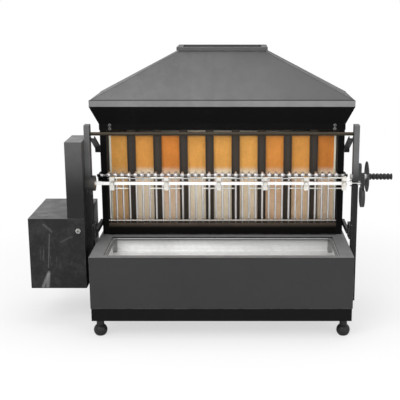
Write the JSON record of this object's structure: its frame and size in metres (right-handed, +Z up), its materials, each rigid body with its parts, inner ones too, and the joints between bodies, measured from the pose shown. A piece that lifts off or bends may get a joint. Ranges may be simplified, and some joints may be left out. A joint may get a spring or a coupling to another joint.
{
  "type": "charcoal rotisserie grill",
  "caption": "Upright charcoal rotisserie grill: brick-lined firebox with a rod grille, hood and flue flange, chain-driven spit with forks, motor box, latch handle and lift-out drip tray.",
  "frame": {"origin": "on the floor, under the middle of the grill's bounding box", "axes": "+X to the right along the spit, +Y from the cook's side to the back, +Z up"},
  "size_m": [1.35, 0.583, 1.03],
  "materials": {
    "base_enamel": "satin black paint",
    "plinth_enamel": "satin black paint",
    "foot_iron": "satin black",
    "tray_steel": "brushed stainless",
    "firebox_steel": "heat-resistant matte black",
    "rack_steel": "dark, heat-stained",
    "firebrick": "rough orange firebrick",
    "board": "pale board",
    "packing": "cream fibre",
    "rod_steel": "bright drawn steel",
    "hood_steel": "satin dark grey",
    "rim_steel": "satin grey",
    "post_enamel": "satin black paint",
    "box_enamel": "gloss black paint",
    "bolt_steel": "zinc plated",
    "dark_steel": "oiled dark steel",
    "bronze": "bearing bronze",
    "motor_paint": "grey paint",
    "black_plastic": "moulded black",
    "latch_steel": "dark grey paint"
  },
  "bodies": {
    "frame": {"ball_feet": "foot_iron", "foot_nuts": "bolt_steel", "base_plinth": "plinth_enamel", "base_box": "base_enamel", "firebox_shell": "firebox_steel", "side_frame_left": "firebox_steel", "side_frame_right": "firebox_steel", "firebox_lip": "firebox_steel", "firebricks": "firebrick", "brick_rack": "rack_steel", "insulating_board": "board", "packing_strips": "packing", "grille_hooks": "firebox_steel", "hood_flare": "firebox_steel", "hood_bolts": "bolt_steel", "hood_rim": "rim_steel", "hood_cone": "hood_steel", "flue_flange": "hood_steel", "right_post": "post_enamel", "left_post": "post_enamel", "top_rail": "rod_steel", "upper_struts": "post_enamel", "lower_brackets": "post_enamel", "post_spacers": "post_enamel", "post_bolts": "bolt_steel", "box_bolts": "bolt_steel", "drive_boss": "dark_steel", "drive_bush": "bronze", "outboard_bearing": "dark_steel", "drive_chain": "dark_steel", "gearbox": "motor_paint", "motor": "motor_paint", "motor_stand": "post_enamel", "motor_box": "box_enamel", "motor_box_cover": "box_enamel", "chain_tower": "box_enamel", "tower_cover": "box_enamel", "cover_screws": "bolt_steel", "toggle_switch": "bolt_steel", "cable_gland": "black_plastic", "latch_boss": "latch_steel"},
    "spit": {"spit_rod": "rod_steel", "drive_shaft": "rod_steel", "driven_sprocket": "dark_steel"},
    "motor_output": {"motor_shaft": "rod_steel", "motor_sprocket": "dark_steel"},
    "latch": {"latch_shaft": "rod_steel", "latch_nut": "bolt_steel", "latch_plate": "latch_steel", "guard_disc": "latch_steel", "handle_grip": "black_plastic"},
    "grille": {"charcoal_grille": "rod_steel"},
    "tray": {"drip_tray": "tray_steel"},
    "toggle": {"switch_lever": "bolt_steel"},
    "fork_1": {"spit_fork_1": "rod_steel"},
    "fork_2": {"spit_fork_2": "rod_steel"},
    "fork_3": {"spit_fork_3": "rod_steel"},
    "fork_4": {"spit_fork_4": "rod_steel"},
    "fork_5": {"spit_fork_5": "rod_steel"},
    "fork_6": {"spit_fork_6": "rod_steel"}
  },
  "joints": [
    {"name": "spit_spin", "type": "hinge", "parent": "frame", "child": "spit", "pos_m": [0.04, -0.0835, 0.537], "axis": [1, 0, 0], "continuous": true, "deforming": ["drive_chain"]},
    {"name": "motor_output_spin", "type": "hinge", "parent": "frame", "child": "motor_output", "pos_m": [-0.498, -0.0835, 0.30897], "axis": [1, 0, 0], "continuous": true},
    {"name": "latch_turn", "type": "hinge", "parent": "frame", "child": "latch", "pos_m": [0.547, -0.0835, 0.562], "axis": [1, 0, 0], "range_deg": [0, 90]},
    {"name": "grille_lift", "type": "slide", "parent": "frame", "child": "grille", "axis": [0, 0, 1], "range_m": [0, 0.085]},
    {"name": "tray_lift", "type": "slide", "parent": "frame", "child": "tray", "axis": [0, 0, 1], "range_m": [0, 0.12]},
    {"name": "switch_toggle", "type": "hinge", "parent": "frame", "child": "toggle", "pos_m": [-0.491, -0.169, 0.374], "axis": [0, 0, -1], "range_deg": [0, 34]},
    {"name": "fork_1_slide", "type": "slide", "parent": "spit", "child": "fork_1", "axis": [1, 0, 0], "range_m": [-0.054, 0.0353]},
    {"name": "fork_2_slide", "type": "slide", "parent": "spit", "child": "fork_2", "axis": [1, 0, 0], "range_m": [-0.0353, 0.0318]},
    {"name": "fork_3_slide", "type": "slide", "parent": "spit", "child": "fork_3", "axis": [1, 0, 0], "range_m": [-0.0318, 0.0206]},
    {"name": "fork_4_slide", "type": "slide", "parent": "spit", "child": "fork_4", "axis": [1, 0, 0], "range_m": [-0.0206, 0.0102]},
    {"name": "fork_5_slide", "type": "slide", "parent": "spit", "child": "fork_5", "axis": [1, 0, 0], "range_m": [-0.0102, 0.005]},
    {"name": "fork_6_slide", "type": "slide", "parent": "spit", "child": "fork_6", "axis": [1, 0, 0], "range_m": [-0.005, 0.013]}
  ],
  "couplings": [
    {"joint": "motor_output_spin", "follows": "spit_spin", "ratio": 1.6667}
  ]
}
